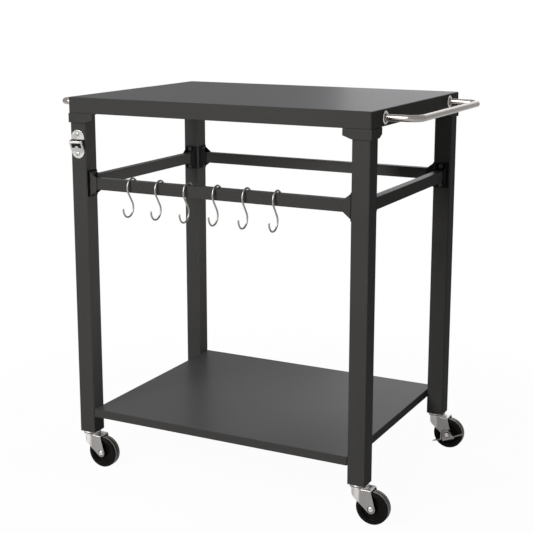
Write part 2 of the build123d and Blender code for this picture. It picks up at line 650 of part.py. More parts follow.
# Casters, all trailing to the right as they stand.
CROWN_LOW = CROWN_TOP - FORK_SHEET
BALL_Z = (RACE_TOP + CUP_BOTTOM) / 2
GROOVE_HALF = BALL_R + RUN_GAP
fork_rise = CROWN_TOP - WHEEL_R
back_lean = TRAIL - CROWN_BACK
back_turn = asin(FORK_END_R / hypot(back_lean, fork_rise)) + atan2(back_lean, fork_rise)
neck_drop = fork_rise - FORK_NECK
neck_turn = atan2(neck_drop, TRAIL) + asin(FORK_END_R / hypot(neck_drop, TRAIL))
for corner, (sx, sy) in CORNERS.items():
    axis = leg_axis(sx, sy)
    braked = sy > 0
    wheel_at = axis + Vector(TRAIL, 0, WHEEL_R)
    meridian = Plane(origin=axis, x_dir=(1, 0, 0), z_dir=(0, -1, 0))
    with BuildPart() as stem:
        with BuildSketch(meridian):
            with BuildLine():
                Polyline(
                    (0, CROWN_LOW - FACE_GAP - RIVET_TALL),
                    (RIVET_R - TURNED_EDGE, CROWN_LOW - FACE_GAP - RIVET_TALL),
                    (RIVET_R, CROWN_LOW - FACE_GAP - RIVET_TALL + TURNED_EDGE),
                    (RIVET_R, CROWN_LOW - FACE_GAP),
                    (STEM_R, CROWN_LOW - FACE_GAP),
                    (STEM_R, CUP_BOTTOM),
                    (BALL_RING_R - GROOVE_HALF, CUP_BOTTOM),
                    (BALL_RING_R - GROOVE_HALF, BALL_Z + BALL_R),
                    (BALL_RING_R + GROOVE_HALF, BALL_Z + BALL_R),
                    (BALL_RING_R + GROOVE_HALF, CUP_BOTTOM),
                    (RACE_R, CUP_BOTTOM),
                    (RACE_R, LEG_BOTTOM - TURNED_EDGE),
                    (RACE_R - TURNED_EDGE, LEG_BOTTOM),
                    (STEM_R, LEG_BOTTOM),
                    (STEM_R, STEM_TOP - TURNED_EDGE),
                    (STEM_R - TURNED_EDGE, STEM_TOP),
                    (0, STEM_TOP),
                    close=True,
                )
            make_face()
        revolve(axis=Axis(axis, UP))
    finish(stem, f"caster_stem_{corner}")

    with BuildPart() as fork:
        with BuildSketch(Plane(axis + UP * (WHEEL_R - FORK_END_R))):
            Circle(FORK_WIDTH / 2)
            with Locations((TRAIL, 0)):
                Rectangle(2 * TRAIL, FORK_WIDTH)
        extrude(amount=CROWN_TOP - WHEEL_R + FORK_END_R)
        fillet(fork.faces().sort_by(Axis.Z)[-1].edges(), FORK_FOLD_R)
        with BuildSketch(Plane(axis + UP * (WHEEL_R - FORK_END_R))):
            Circle(FORK_WIDTH / 2 - FORK_SHEET)
            with Locations((TRAIL, 0)):
                Rectangle(2 * TRAIL, FORK_WIDTH - 2 * FORK_SHEET)
        extrude(amount=CROWN_LOW - WHEEL_R + FORK_END_R, mode=Mode.SUBTRACT)
        with BuildSketch(meridian):
            with BuildLine():
                Polyline(
                    (-FORK_WIDTH / 2, CROWN_TOP),
                    (CROWN_BACK, CROWN_TOP),
                    (TRAIL + FORK_END_R * cos(back_turn), WHEEL_R + FORK_END_R * sin(back_turn)),
                    (TRAIL, WHEEL_R),
                    (TRAIL - FORK_END_R * sin(neck_turn), WHEEL_R - FORK_END_R * cos(neck_turn)),
                    (0, CROWN_TOP - FORK_NECK),
                    (-FORK_CHIN_X, CROWN_TOP - FORK_CHIN),
                    (-FORK_WIDTH / 2, CROWN_TOP - FORK_NOSE),
                    close=True,
                )
            make_face()
            with Locations((TRAIL, WHEEL_R)):
                Circle(FORK_END_R)
        extrude(amount=FORK_WIDTH, both=True, mode=Mode.INTERSECT)
        sides = fork.faces().filter_by(Axis.Y).group_by(Axis.Y)
        rim_edges = [
            edge
            for edge in sides[0].edges() + sides[-1].edges()
            if edge.center().X > axis.X + FORK_SHEET and edge.center().Z < CROWN_TOP - FORK_CHIN
        ]
        fillet(rim_edges, FORK_RIM_R)
        for way in (-1, 1):
            with BuildSketch(facing(wheel_at + Vector(0, way * FORK_WIDTH / 2, 0), (0, way, 0))):
                Circle(DIMPLE_R)
            extrude(amount=-DIMPLE_DEEP, mode=Mode.SUBTRACT)
        with BuildSketch(Plane(axis + UP * CROWN_TOP)):
            Circle(RACE_R)
        extrude(amount=RACE_TOP - CROWN_TOP)
        with BuildSketch(Plane(axis + UP * (BALL_Z - BALL_R))):
            Circle(BALL_RING_R + GROOVE_HALF)
            Circle(BALL_RING_R - GROOVE_HALF, mode=Mode.SUBTRACT)
        extrude(amount=RACE_TOP - BALL_Z + BALL_R, mode=Mode.SUBTRACT)
        with BuildSketch(Plane(axis + UP * CROWN_LOW)):
            Circle(STEM_R + RUN_GAP)
        extrude(amount=RACE_TOP - CROWN_LOW, mode=Mode.SUBTRACT)
        with BuildSketch(meridian):
            with Locations((TRAIL, WHEEL_R)):
                Circle(AXLE_R + THREAD_GAP)
        extrude(amount=FORK_WIDTH, both=True, mode=Mode.SUBTRACT)
    finish(fork, f"caster_fork_{corner}")

    seat = FORK_WIDTH / 2 - DIMPLE_DEEP
    near = FORK_WIDTH / 2 + 2 * FACE_GAP + BRAKE_SHEET if braked else seat
    with BuildPart() as axle:
        with BuildSketch(Plane(wheel_at)):
            with BuildLine():
                Polyline(
                    (0, -near - AXLE_HEAD_TALL),
                    (AXLE_HEAD_R - AXLE_HEAD_SLOPE, -near - AXLE_HEAD_TALL),
                    (AXLE_HEAD_R, -near - AXLE_HEAD_RIM),
                    (AXLE_HEAD_R, -near),
                    (AXLE_R, -near),
                    (AXLE_R, seat),
                    (AXLE_HEAD_R, seat),
                    (AXLE_HEAD_R, seat + AXLE_HEAD_RIM),
                    (AXLE_HEAD_R - AXLE_HEAD_SLOPE, seat + AXLE_HEAD_TALL),
                    (0, seat + AXLE_HEAD_TALL),
                    close=True,
                )
            make_face()
        revolve(axis=Axis(wheel_at, (0, 1, 0)))
    finish(axle, f"caster_axle_{corner}")

    rim = CORE_R - RIM_SHEET
    rim_half = TYRE_WIDTH / 2 - RIM_STEP
    with BuildPart() as core:
        with BuildSketch(Plane(wheel_at)):
            with BuildLine():
                Polyline(
                    (AXLE_R + RUN_GAP, -HUB_LONG / 2),
                    (HUB_R, -HUB_LONG / 2),
                    (HUB_R, -WEB_HALF),
                    (rim, -WEB_HALF),
                    (rim, -rim_half),
                    (CORE_R, -rim_half),
                    (CORE_R, rim_half),
                    (rim, rim_half),
                    (rim, WEB_HALF),
                    (HUB_R, WEB_HALF),
                    (HUB_R, HUB_LONG / 2),
                    (AXLE_R + RUN_GAP, HUB_LONG / 2),
                    close=True,
                )
            make_face()
        revolve(axis=Axis(wheel_at, (0, 1, 0)))
    finish(core, f"wheel_core_{corner}")

    with BuildPart() as tyre:
        with BuildSketch(Plane(wheel_at)) as section:
            with Locations(((CORE_R + WHEEL_R) / 2, 0)):
                Rectangle(WHEEL_R - CORE_R, TYRE_WIDTH)
            fillet(section.vertices().group_by(Axis.X)[-1], SHOULDER_R)
        revolve(axis=Axis(wheel_at, (0, 1, 0)))
    finish(tyre, f"tyre_{corner}")

    if braked:
        tilt = radians(BRAKE_TILT)
        pivot = wheel_at - Vector(0, FORK_WIDTH / 2 + FACE_GAP, 0)
        rocker = Plane(origin=pivot, x_dir=(cos(tilt), 0, sin(tilt)), z_dir=(0, -1, 0))
        with BuildPart() as brake_lever:
            with BuildSketch(rocker):
                with BuildLine():
                    Polyline(
                        (-BRAKE_TOP_HALF, BRAKE_UP),
                        (BRAKE_TOP_HALF, BRAKE_UP),
                        (BRAKE_LOW_HALF, PEDAL_LOW),
                        (BRAKE_LOW_HALF, -BRAKE_DOWN),
                        (-BRAKE_LOW_HALF, -BRAKE_DOWN),
                        (-BRAKE_LOW_HALF, PEDAL_LOW),
                        close=True,
                    )
                make_face()
                Circle(AXLE_R + RUN_GAP, mode=Mode.SUBTRACT)
            extrude(amount=BRAKE_SHEET)
            with BuildSketch(rocker):
                for way in (-1, 1):
                    with BuildLine():
                        Polyline(
                            (way * BRAKE_TOP_HALF, BRAKE_UP),
                            (way * (BRAKE_LOW_HALF + PEDAL_ROOT), PEDAL_LOW + BRAKE_SHEET),
                            (way * BRAKE_REACH, PEDAL_TIP),
                            (way * BRAKE_REACH, PEDAL_TIP - BRAKE_SHEET),
                            (way * BRAKE_LOW_HALF, PEDAL_LOW),
                            (way * (BRAKE_TOP_HALF - BRAKE_SHEET), BRAKE_UP),
                            close=True,
                        )
                    make_face()
            extrude(amount=BRAKE_DEEP)
        finish(brake_lever, f"brake_lever_{corner}")

# Bearing balls between every stem's cup and its fork.
ball_points = []
for sx, sy in CORNERS.values():
    for k in range(BALL_COUNT):
        turn = radians(360 * k / BALL_COUNT)
        around = Vector(BALL_RING_R * cos(turn), BALL_RING_R * sin(turn), BALL_Z)
        ball_points.append(leg_axis(sx, sy) + around)
with BuildPart() as swivel_balls:
    with Locations(*ball_points):
        Sphere(BALL_R)
finish(swivel_balls, "swivel_balls")
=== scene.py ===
"""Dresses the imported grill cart: coated sheet and tube, bent steel, moulded wheels, and a stage."""
import json
import math

import bpy
import numpy as np
from bpy.props import FloatProperty, FloatVectorProperty, PointerProperty
from bpy.types import Operator, Panel, PropertyGroup
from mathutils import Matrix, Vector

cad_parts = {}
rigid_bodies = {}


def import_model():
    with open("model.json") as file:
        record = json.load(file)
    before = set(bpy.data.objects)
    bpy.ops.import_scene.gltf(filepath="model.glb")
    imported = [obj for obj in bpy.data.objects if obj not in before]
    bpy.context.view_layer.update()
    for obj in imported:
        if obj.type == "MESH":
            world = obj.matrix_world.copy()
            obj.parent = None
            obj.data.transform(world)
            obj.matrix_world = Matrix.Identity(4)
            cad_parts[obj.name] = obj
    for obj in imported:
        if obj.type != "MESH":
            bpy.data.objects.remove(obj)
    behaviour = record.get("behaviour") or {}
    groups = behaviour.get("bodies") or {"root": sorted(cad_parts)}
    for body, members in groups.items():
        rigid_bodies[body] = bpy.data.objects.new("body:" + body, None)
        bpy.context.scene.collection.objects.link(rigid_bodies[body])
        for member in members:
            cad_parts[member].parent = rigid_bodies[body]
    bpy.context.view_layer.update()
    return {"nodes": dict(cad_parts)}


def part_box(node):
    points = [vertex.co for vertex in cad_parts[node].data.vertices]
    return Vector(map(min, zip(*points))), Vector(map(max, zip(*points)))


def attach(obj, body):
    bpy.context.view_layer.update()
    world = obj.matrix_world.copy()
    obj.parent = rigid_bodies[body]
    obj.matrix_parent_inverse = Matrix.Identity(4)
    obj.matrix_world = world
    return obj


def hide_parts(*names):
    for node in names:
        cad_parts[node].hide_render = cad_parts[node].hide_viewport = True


bl_info = {
    "name": "Grill cart dressing",
    "version": (1, 0, 0),
    "blender": (4, 5, 0),
    "location": "3D View > Sidebar > Grill cart",
    "description": "Finishes and fittings for the packed grill cart",
    "category": "Object",
}

# The start-up scene's own objects would count in the cart's box.
for leftover in list(bpy.data.objects):
    bpy.data.objects.remove(leftover)
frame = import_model()

CORNERS = ("front_left", "front_right", "rear_left", "rear_right")
BRAKED = ("rear_left", "rear_right")
SIDES = ("front", "rear", "left", "right")
RAILS = tuple(f"{side}_rail" for side in SIDES)
HOOKS = 6
FULL_TURN = 2.0 * math.pi
SHARP_EDGE = math.radians(38.0)
COOL_LIGHT = (0.86, 0.89, 1.0, 1.0)
WHITE = (1.0, 1.0, 1.0, 1.0)
TINY = 1e-9

# Each lamp's width, where it hangs and the point it looks at, in metres.
LAMPS = {
    "key": (2.4, (-0.75, -3.9, 3.05), (0.0, 0.0, 0.45)),
    "glint": (2.4, (-1.7, -3.1, 2.7), (0.0, 0.0, 0.45)),
    "back": (2.2, (-0.2, 3.4, 1.5), (0.0, 0.0, 0.7)),
    "inside": (0.22, (0.25, 0.0, 0.50), (-0.4, -0.05, 0.50)),
    "low": (2.0, (-2.6, 2.9, 0.75), (0.0, 0.0, 0.5)),
}
# Lamps that give light but show in no reflection.
UNMIRRORED = ("key", "inside", "low")


def colour(name, words, default):
    """A colour that a user may change, in linear light."""
    return FloatVectorProperty(name=name, description=words, default=default, subtype="COLOR",
                               min=0.0, max=1.0)


def length(name, words, default):
    """A size that a user may change, in metres."""
    return FloatProperty(name=name, description=words, default=default, unit="LENGTH", min=0.0, precision=5)


def share(name, words, default):
    """A part of one that a user may change."""
    return FloatProperty(name=name, description=words, default=default, subtype="FACTOR", min=0.0, max=1.0)


def power(name, words, default):
    """A lamp's power that a user may change, in watts."""
    return FloatProperty(name=name, description=words, default=default, unit="POWER", min=0.0)


def turn(name, words, degrees):
    """An angle that a user may change."""
    return FloatProperty(name=name, description=words, default=math.radians(degrees), subtype="ANGLE")


class CartCoats(PropertyGroup):
    """Powder coat and black fasteners."""
    sheet: colour("Worktop coat", "Coat on the worktop and the lower shelf", (0.0415, 0.0405, 0.039))
    frame: colour("Frame coat", "Coat on legs, rails and corner brackets", (0.040, 0.039, 0.0372))
    # Painted shade: the bracket coat is a near-black copy of the frame coat, for rail brackets that sit in
    # shadow.
    clip: colour("Bracket coat", "Coat on the rail brackets", (0.013, 0.0128, 0.0125))
    fastener: colour("Black fasteners", "Black oxide on the bolts", (0.022, 0.022, 0.023))
    peel: length("Orange peel", "Width of the fine ripple in the coat", 0.0016)
    rough: share("Coat roughness", "Roughness of the satin coat", 0.52)
    gloss: share("Coat gloss", "Mirror level of the satin coat", 0.03)
    sheen: share("Upper sheen", "Weight of the smooth layer on faces that look up", 0.50)
    sheen_rough: share("Sheen roughness", "Roughness of that smooth layer", 0.30)


class CartMetals(PropertyGroup):
    """Bare and plated metal."""
    stainless: colour("Stainless", "Handles", (0.50, 0.46, 0.43))
    wire: colour("Hook wire", "Hooks", (0.43, 0.41, 0.392))
    zinc: colour("Zinc plate", "Caster forks, stems, axles and brake rockers", (0.80, 0.77, 0.745))
    bright: colour("Bright plate", "Bottle opener, its screws and the handle cups", (0.62, 0.61, 0.595))
    plain: colour("Plain steel", "Nuts, inserts and bearing balls", (0.42, 0.41, 0.40))
    streak: share("Streaks", "Strength of the brushing and plating streaks", 0.30)


class CartWheels(PropertyGroup):
    """Tyres and moulded wheel cores."""
    rubber: colour("Tyre side", "Side of the tyres", (0.0045, 0.0040, 0.0036))
    tread: colour("Tread", "Running face of the tyres", (0.052, 0.049, 0.045))
    # Painted highlight: a pale colour along the edges of the running face.
    edge_highlight: colour("Highlit edge", "Edge of the running face", (0.30, 0.28, 0.26))
    core: colour("Wheel core", "Moulded plastic of the wheel", (0.0040, 0.0035, 0.0030))
    shoulder: length("Tyre shoulder", "Rounding between the tread and the side of the tyre", 0.0040)
    bead: length("Tyre bead", "Height of the ring moulded on each side of the tyre", 0.0005)
    bead_wide: length("Bead width", "Width of that ring", 0.0026)
    step: length("Tread step", "Height of the tread above the shoulder", 0.0005)
    step_run: length("Tread step run", "Width of the slope up to the tread", 0.0004)
    hub: length("Hub", "Radius of the wheel's hub", 0.010)
    web: length("Web", "Half thickness of the wheel's disc", 0.0045)
    lip: length("Wheel lip", "Half width of the lip under the tyre", 0.0103)


class CartFittings(PropertyGroup):
    """Handles, hooks, opener and axle heads."""
    tube: length("Handle tube", "Radius of the handle tube", 0.007)
    bend: length("Handle bend", "Bend radius at the handle's corners", 0.026)
    cup: length("Handle cup", "Radius of the cups where the handles meet the skirt", 0.0135)
    cup_tall: length("Cup height", "Height of those cups", 0.003)
    cup_bead: length("Cup bead", "Width of the bead round each cup", 0.0036)
    cup_floor: length("Cup floor", "Thickness of the sheet inside the bead", 0.0004)
    wire: length("Hook wire", "Radius of the hook wire", 0.002)
    loop: length("Hook loop", "Radius of both loops of a hook, to the middle of the wire", 0.0195)
    plate: length("Opener sheet", "Thickness of the opener's sheet", 0.0024)
    mouth: length("Opener mouth", "Half width of the opener's mouth", 0.0128)
    tooth: length("Opener tooth", "Radius of the tooth under the mouth", 0.0055)
    press: length("Opener edge", "Rounding of the opener's edges", 0.0006)
    rivet: length("Axle head", "Height of the heads on the caster axles", 0.0026)
    # The ring of this width round each axle head carries painted shade: it is stained near black.
    shade_ring: length("Shaded ring", "Width of the dark ring round each axle head", 0.0016)


class CartStage(PropertyGroup):
    """Floor, light and camera."""
    floor: colour("Floor", "Floor colour", (0.62, 0.62, 0.62))
    world: share("Room light", "Strength of the even light from all round", 0.16)
    mirror: share("Room gloss", "Strength of the room in reflections", 0.45)
    key: power("Key lamp", "Power of the soft lamp in front", 250.0)
    glint: power("Glint lamp", "Power of the lamp that bare metal mirrors", 200.0)
    back: power("Back lamp", "Power of the soft lamp behind", 14.0)
    inside: power("Inside lamp", "Power of the weak lamp over the shelf", 3.4)
    low: power("Low lamp", "Power of the low lamp behind on the left", 110.0)
    eye: FloatVectorProperty(name="Camera", description="Place of the camera", subtype="TRANSLATION",
                             default=(1.2385, -2.3987, 1.0889))
    yaw: turn("Yaw", "Turn of the camera to the left of +Y", 27.321)
    pitch: turn("Pitch", "Fall of the view below the horizon", 11.788)
    lens: FloatProperty(name="Lens", description="Focal length on a 36 mm sensor", unit="CAMERA",
                        default=80.681)
    shift: FloatProperty(name="Shift", description="Upright shift of the lens", default=-0.05)


class Wire:
    """One output socket of a node. Sums, differences and products of wires add Math nodes."""

    def __init__(self, finish, socket):
        self.finish = finish
        self.socket = socket

    def _join(self, operation, first, second):
        return self.finish.node("Math", {"operation": operation}, {0: first, 1: second})

    def __add__(self, other):
        return self._join("ADD", self, other)

    def __radd__(self, other):
        return self._join("ADD", other, self)

    def __sub__(self, other):
        return self._join("SUBTRACT", self, other)

    def __rsub__(self, other):
        return self._join("SUBTRACT", other, self)

    def __mul__(self, other):
        return self._join("MULTIPLY", self, other)

    def __rmul__(self, other):
        return self._join("MULTIPLY", other, self)


class Nodes:
    """A node tree, with one method for any node and short ways to the few that finishes share."""

    def __init__(self, tree):
        self.tree = tree

    def feed(self, socket, value):
        """Links a wire to a socket, or sets the socket's own value."""
        if isinstance(value, Wire):
            self.tree.links.new(value.socket, socket)
        else:
            socket.default_value = value

    def node(self, kind, settings, sockets, out=0):
        """A new node: its settings first, then its sockets' values or links. Gives one output."""
        made = self.tree.nodes.new("ShaderNode" + kind)
        for key, value in settings.items():
            setattr(made, key, value)
        for key, value in sockets.items():
            self.feed(made.inputs[key], value)
        return Wire(self, made.outputs[out])

    def place(self):
        """Position on the piece, in metres."""
        return self.node("TexCoord", {}, {}, "Object")

    def grain(self):
        """Place along and across a straightened bar, or radius and height on a turned piece, in metres."""
        return self.node("Attribute", {"attribute_name": "grain"}, {}, "Vector")

    def axis(self, vector, letter):
        """One coordinate of a vector."""
        return self.node("SeparateXYZ", {}, {0: vector}, letter)

    def stretch(self, vector, scale):
        """A vector with each coordinate multiplied by its own number."""
        return self.node("VectorMath", {"operation": "MULTIPLY"}, {0: vector, 1: scale})

    def noise(self, vector, scale, detail=2.0):
        """Soft noise from 0 to 1 over a position."""
        return self.node("TexNoise", {}, {"Vector": vector, "Scale": scale, "Detail": detail})

    def step(self, value, low, high):
        """0 below low, 1 above high, smooth between."""
        return self.node("MapRange", {"interpolation_type": "SMOOTHSTEP"}, {0: value, 1: low, 2: high})

    def away(self, value, middle):
        """Distance of a value from a middle one."""
        return self.node("Math", {"operation": "ABSOLUTE"}, {0: value - middle})

    def blend(self, first, second, amount):
        """A colour from the first, at 0, to the second, at 1."""
        return self.node("Mix", {"data_type": "RGBA"}, {0: amount, 6: first, 7: second}, 2)

    def ray(self, kind):
        """1 for rays of one kind, such as Camera or Glossy, and 0 for the rest."""
        return self.node("LightPath", {}, {}, f"Is {kind} Ray")


class Finish(Nodes):
    """A material on the Principled shader. Values that are the same all over are set on its own sockets."""

    def __init__(self, name, **plain):
        self.material = bpy.data.materials.new(name)
        self.material.use_nodes = True
        super().__init__(self.material.node_tree)
        self.shader = self.tree.nodes["Principled BSDF"]
        for key, value in plain.items():
            self.paint(key.replace("_", " "), value)

    def paint(self, socket, value):
        """Feeds one socket of the shader."""
        self.feed(self.shader.inputs[socket], value)

    def fed(self, socket):
        """The wire that feeds a socket of the shader so far."""
        return Wire(self, self.shader.inputs[socket].links[0].from_socket)

    def stain(self, tone, amount):
        """Lays another tone over the base colour so far, from not at all, at 0, to fully, at 1."""
        self.paint("Base Color", self.blend(self.fed("Base Color"), tone, amount))

    def bump(self, height, strength, distance):
        """Fine relief from a height between 0 and 1."""
        relief = {"Strength": strength, "Distance": distance, "Height": height}
        self.paint("Normal", self.node("Bump", {}, relief))


def shade(tone, factor=1.0):
    """A colour made lighter or darker by a factor, with full alpha."""
    return tuple(min(1.0, part * factor) for part in tone[:3]) + (1.0,)


def powder_coat(name, tone, upper=None):
    """Satin powder coat: fine ripple and a slow change of tone over the piece. Where an upper height is
    given, the faces that end there carry a smoother layer with a cool tint under it: painted light, for the
    bluish sheen that these faces reflect."""
    coats = bpy.context.scene.cart_coats
    finish = Finish(name, Specular_IOR_Level=coats.gloss)
    place = finish.place()
    ripple = finish.noise(place, 1.0 / coats.peel, detail=3.0)
    cloud = finish.noise(place, 6.0, detail=4.0)
    finish.paint("Base Color", finish.blend(shade(tone, 0.88), shade(tone, 1.12), cloud))
    finish.paint("Roughness", coats.rough + 0.10 * (cloud - 0.5) + 0.10 * (ripple - 0.5))
    finish.bump(ripple, strength=0.22, distance=0.0004)
    if upper is not None:
        level = finish.step(finish.axis(place, "Z"), upper - 0.0014, upper - 0.0002)
        finish.paint("Coat Roughness", coats.sheen_rough)
        # Painted light: the cool tint under the smooth layer stands for the bluish sheen these faces
        # reflect.
        finish.paint("Coat Tint", COOL_LIGHT)
        finish.paint("Coat Weight", coats.sheen * level)
    return finish


def black_oxide(name, tone):
    """Dark fastener steel with mottled sheen."""
    finish = Finish(name, Metallic=0.35, Specular_IOR_Level=0.3)
    mottle = finish.noise(finish.place(), 260.0, detail=3.0)
    finish.paint("Base Color", finish.blend(shade(tone, 0.7), shade(tone, 1.6), mottle))
    finish.paint("Roughness", 0.34 + 0.22 * mottle)
    return finish


def brushed_bar(name, tone, streak, rough):
    """Stainless bar: streaks that run along the bar, from noise stretched along its straightened length."""
    finish = Finish(name, Metallic=1.0)
    lines = finish.noise(finish.stretch(finish.grain(), (9.0, 900.0, 900.0)), 1.0, detail=3.0)
    cloud = finish.noise(finish.place(), 14.0, detail=3.0)
    finish.paint("Base Color", finish.blend(shade(tone, 1.0 - streak), shade(tone, 1.0 + streak), lines))
    finish.paint("Roughness", rough + 0.14 * (lines - 0.5) + 0.06 * (cloud - 0.5))
    finish.bump(lines, strength=0.10, distance=0.0001)
    return finish


def plated(name, tone, streak, rough, across, along):
    """Plated steel: soft bands, so many to a metre across and along the upright, and fine speckle."""
    finish = Finish(name, Metallic=1.0)
    place = finish.place()
    bands = finish.step(finish.noise(finish.stretch(place, (across, across, along)), 1.0), 0.3, 0.7)
    speckle = finish.noise(place, 900.0)
    finish.paint("Base Color", finish.blend(shade(tone, 1.0 - streak), shade(tone, 1.0 + streak), bands))
    finish.paint("Roughness", rough + 0.16 * (bands - 0.5) + 0.10 * (speckle - 0.5))
    finish.bump(speckle, strength=0.05, distance=0.0002)
    return finish


def moulded(name, tone, rough, specular, pitch):
    """Moulded rubber or plastic: even dark tone with a worn bloom and a fine mould texture."""
    finish = Finish(name, Specular_IOR_Level=specular)
    place = finish.place()
    bloom = finish.noise(place, 45.0, detail=4.0)
    texture = finish.noise(place, 1.0 / pitch)
    finish.paint("Base Color", finish.blend(shade(tone, 0.75), shade(tone, 1.5), bloom))
    finish.paint("Roughness", rough + 0.14 * (bloom - 0.5))
    finish.bump(texture, strength=0.15, distance=0.0003)
    return finish


def dress(finish, *nodes):
    """Puts a finish on CAD nodes."""
    for name in nodes:
        for slot in frame["nodes"][name].material_slots:
            slot.material = finish.material


def box(node):
    """Lowest and highest corner of a CAD node, as arrays."""
    low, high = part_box(node)
    return np.array(low), np.array(high)


def half_size(node):
    """Half of a CAD node's size along each axis."""
    low, high = box(node)
    return (high - low) / 2.0


def middle(node):
    """Middle of a CAD node's box."""
    return sum(box(node)) / 2.0


def around_turn(count):
    """Even angles round a full turn."""
    return np.arange(count) / count * FULL_TURN


def rounded(corners, radius, steps=8, closed=False):
    """A line through corner points with each corner turned into a circular arc. The arc leaves the line at
    radius times the tangent of half the turn, and is a rational quadratic whose middle weight is the cosine
    of half the turn. No arc takes more than 0.49 of the shorter line beside it."""
    points = np.asarray(corners, float)
    ring = np.vstack([points[-1:], points, points[:1]]) if closed else points
    back, corner, ahead = ring[:-2] - ring[1:-1], ring[1:-1], ring[2:] - ring[1:-1]
    back_long, ahead_long = np.linalg.norm(back, axis=1), np.linalg.norm(ahead, axis=1)
    back, ahead = back / back_long[:, None], ahead / ahead_long[:, None]
    half_turn = np.arccos(np.clip(-(back * ahead).sum(1), -1.0, 1.0)) / 2.0
    longest = 0.49 * np.minimum(back_long, ahead_long)
    cut = np.minimum(radius * np.tan(half_turn), longest)[:, None]
    t = np.linspace(0.0, 1.0, steps)[None, :, None]
    first, second, third = (1.0 - t) ** 2, 2.0 * t * (1.0 - t) * np.cos(half_turn)[:, None, None], t ** 2
    start, bend, end = (corner + back * cut)[:, None], corner[:, None], (corner + ahead * cut)[:, None]
    arcs = (first * start + second * bend + third * end) / (first + second + third)
    arcs = arcs.reshape(-1, points.shape[1])
    return arcs if closed else np.vstack([points[:1], arcs, points[-1:]])


def bar(path, radius, side, around=24, domed=False):
    """Rings of a round bar along a flat path: each ring is the path's point plus the radius times cosine of
    the angle along the side direction and sine of the angle along the direction square to side and path.
    With domed, shrinking rings go on past each end as a half ball. Also gives each point's place on the
    straightened bar."""
    tangent = np.gradient(path, axis=0)
    tangent /= np.linalg.norm(tangent, axis=1, keepdims=True)
    size = np.full(len(path), radius)
    if domed:
        dome_rings = 6
        rise = np.linspace(0.15, 0.95, dome_rings) * math.pi / 2.0
        reach, shrink = radius * np.sin(rise)[:, None], radius * np.cos(rise)
        path = np.vstack([(path[0] - reach * tangent[0])[::-1], path, path[-1] + reach * tangent[-1]])
        size = np.concatenate([shrink[::-1], size, shrink])
        ends = [np.repeat(end, dome_rings, 0) for end in (tangent[:1], tangent[-1:])]
        tangent = np.vstack([ends[0], tangent, ends[1]])
    angle = around_turn(around)
    side = np.asarray(side, float)
    out = np.cross(side, tangent)
    cosine, sine = size[:, None] * np.cos(angle), size[:, None] * np.sin(angle)
    rings = path[:, None] + cosine[..., None] * side + sine[..., None] * out[:, None]
    run = np.concatenate([[0.0], np.cumsum(np.linalg.norm(np.diff(path, axis=0), axis=1))])
    grain = np.stack([np.broadcast_to(run[:, None], cosine.shape), cosine, sine], axis=-1)
    return rings, grain


def turned(radius, height, centre, axis, around=96):
    """Rings of a turned piece: at each height along the axis, a circle of that radius. Height may also
    differ from point to point of a ring, which gives recesses. Also gives each point's radius and height."""
    axis = np.asarray(axis, float)
    across = np.array([0.0, 0.0, 1.0]) if abs(axis[2]) < 0.5 else np.array([1.0, 0.0, 0.0])
    other = np.cross(axis, across)
    angle = around_turn(around)
    spoke = np.cos(angle)[:, None] * across + np.sin(angle)[:, None] * other
    height = np.broadcast_to(np.asarray(height).reshape(len(radius), -1), (len(radius), around))
    rings = np.asarray(centre) + radius[:, None, None] * spoke + height[..., None] * axis
    radii = np.broadcast_to(radius[:, None], height.shape)
    grain = np.stack([radii, height, np.zeros_like(height)], axis=-1)
    return rings, grain


def skin(rings, grain=None, loop=False):
    """Closed faces over rings of points: each ring is joined to the next. With loop the last ring meets the
    first; otherwise a fan closes each end ring at its middle. The sign of the enclosed volume turns the
    faces outwards."""
    count, around, _ = rings.shape
    row = np.arange(count if loop else count - 1)[:, None]
    column = np.arange(around)[None, :]
    below, beside = (row + 1) % count, (column + 1) % around
    corners = (row * around + column, row * around + beside,
               below * around + beside, below * around + column)
    quads = np.stack(np.broadcast_arrays(*corners), axis=-1).reshape(-1, 4)
    points = rings.reshape(-1, 3)
    marks = np.zeros_like(points) if grain is None else grain.reshape(-1, 3)
    fans = np.empty((0, 3), int)
    if not loop:
        points = np.vstack([points, rings[0].mean(0), rings[-1].mean(0)])
        marks = np.vstack([marks, marks[0], marks[-1]])
        start, top = np.arange(around), (count - 1) * around
        after = (start + 1) % around
        fans = np.vstack([
            np.stack([after, start, np.full(around, count * around)], axis=1),
            np.stack([top + start, top + after, np.full(around, count * around + 1)], axis=1)])
    thirds = points[np.vstack([quads[:, :3], quads[:, [0, 2, 3]], fans])]
    volume = (thirds[:, 0] * np.cross(thirds[:, 1], thirds[:, 2])).sum()
    if volume < 0.0:
        quads, fans = quads[:, ::-1], fans[:, ::-1]
    return points, marks, quads, fans


def make(name, skins, finish, body, stands_for):
    """One piece from its skins: its mesh, finish and material slot, the body it rides on and the CAD node
    that it stands for."""
    points = np.vstack([part[0] for part in skins])
    marks = np.vstack([part[1] for part in skins])
    starts = np.cumsum([0] + [len(part[0]) for part in skins[:-1]])
    quads = np.vstack([part[2] + start for part, start in zip(skins, starts)])
    fans = np.vstack([part[3] + start for part, start in zip(skins, starts)])
    mesh = bpy.data.meshes.new(name)
    mesh.from_pydata(points.tolist(), [], quads.tolist() + fans.tolist())
    mesh.polygons.foreach_set("use_smooth", np.ones(len(mesh.polygons), bool))
    mesh.set_sharp_from_angle(angle=SHARP_EDGE)
    mesh.attributes.new("grain", "FLOAT_VECTOR", "POINT").data.foreach_set("vector", marks.ravel())
    mesh.materials.append(finish.material)
    piece = bpy.data.objects.new(name, mesh)
    bpy.context.scene.collection.objects.link(piece)
    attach(piece, body)
    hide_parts(stands_for)


